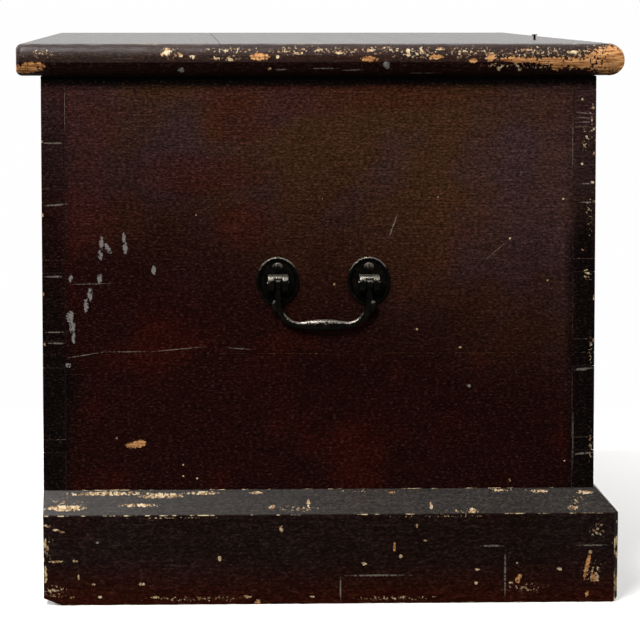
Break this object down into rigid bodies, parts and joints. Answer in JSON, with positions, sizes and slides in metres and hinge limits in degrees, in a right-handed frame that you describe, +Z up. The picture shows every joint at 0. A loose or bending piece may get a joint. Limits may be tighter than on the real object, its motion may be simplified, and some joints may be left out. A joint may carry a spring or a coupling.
{
  "type": "blanket box",
  "caption": "Dovetailed pine blanket box in worn dark paint, with a hinged round-nosed lid, a chamfered plinth and an iron drop handle on each end.",
  "frame": {"origin": "on the floor, under the centre of the box seen from above", "axes": "+Z up, +X along the length, the front faces -Y and the left end faces -X"},
  "size_m": [1.102, 0.5702, 0.5336],
  "materials": {
    "painted_pine": "dark brown paint, worn through to orange pine on the edges",
    "bare_pine": "unpainted old pine",
    "black_iron": "black iron, rubbed bright on the high spots"
  },
  "bodies": {
    "carcass": {"front_upper_board": "painted_pine", "front_lower_board": "painted_pine", "back_upper_board": "painted_pine", "back_lower_board": "painted_pine", "left_end_upper_board": "painted_pine", "left_end_lower_board": "painted_pine", "right_end_upper_board": "painted_pine", "right_end_lower_board": "painted_pine", "floor_board_1": "bare_pine", "floor_board_2": "bare_pine", "floor_board_3": "bare_pine", "floor_board_4": "bare_pine", "floor_board_5": "bare_pine", "plinth_front": "painted_pine", "plinth_left_end": "painted_pine", "plinth_right_end": "painted_pine", "plinth_back_rail": "bare_pine", "corner_block_front_left": "bare_pine", "corner_block_front_right": "bare_pine", "corner_block_back_left": "bare_pine", "corner_block_back_right": "bare_pine", "hinge_left_back_leaf": "black_iron", "hinge_left_pin": "black_iron", "hinge_left_back_screw_1": "black_iron", "hinge_left_back_screw_2": "black_iron", "hinge_left_back_screw_3": "black_iron", "hinge_right_back_leaf": "black_iron", "hinge_right_pin": "black_iron", "hinge_right_back_screw_1": "black_iron", "hinge_right_back_screw_2": "black_iron", "hinge_right_back_screw_3": "black_iron", "left_handle_front_rose": "black_iron", "left_handle_back_rose": "black_iron", "left_handle_front_pivot": "black_iron", "left_handle_back_pivot": "black_iron", "left_handle_front_screw": "black_iron", "left_handle_back_screw": "black_iron", "right_handle_front_rose": "black_iron", "right_handle_back_rose": "black_iron", "right_handle_front_pivot": "black_iron", "right_handle_back_pivot": "black_iron", "right_handle_front_screw": "black_iron", "right_handle_back_screw": "black_iron"},
    "lid": {"lid_board_1": "painted_pine", "lid_board_2": "painted_pine", "lid_board_3": "painted_pine", "lid_batten_left": "bare_pine", "lid_batten_right": "bare_pine", "lid_nail": "black_iron", "hinge_left_lid_leaf": "black_iron", "hinge_left_lid_screw_1": "black_iron", "hinge_left_lid_screw_2": "black_iron", "hinge_left_lid_screw_3": "black_iron", "hinge_right_lid_leaf": "black_iron", "hinge_right_lid_screw_1": "black_iron", "hinge_right_lid_screw_2": "black_iron", "hinge_right_lid_screw_3": "black_iron"},
    "left_bail": {"left_handle_bail": "black_iron"},
    "right_bail": {"right_handle_bail": "black_iron"}
  },
  "joints": [
    {"name": "lid_hinge", "type": "hinge", "parent": "carcass", "child": "lid", "pos_m": [0, 0.26695, 0.4978], "axis": [-1, 0, 0], "range_deg": [0, 103]},
    {"name": "left_bail_swing", "type": "hinge", "parent": "carcass", "child": "left_bail", "pos_m": [-0.539, -0.00185, 0.30305], "axis": [0, 1, 0], "range_deg": [-8, 105]},
    {"name": "right_bail_swing", "type": "hinge", "parent": "carcass", "child": "right_bail", "pos_m": [0.539, -0.00185, 0.30305], "axis": [0, -1, 0], "range_deg": [-8, 105]}
  ]
}
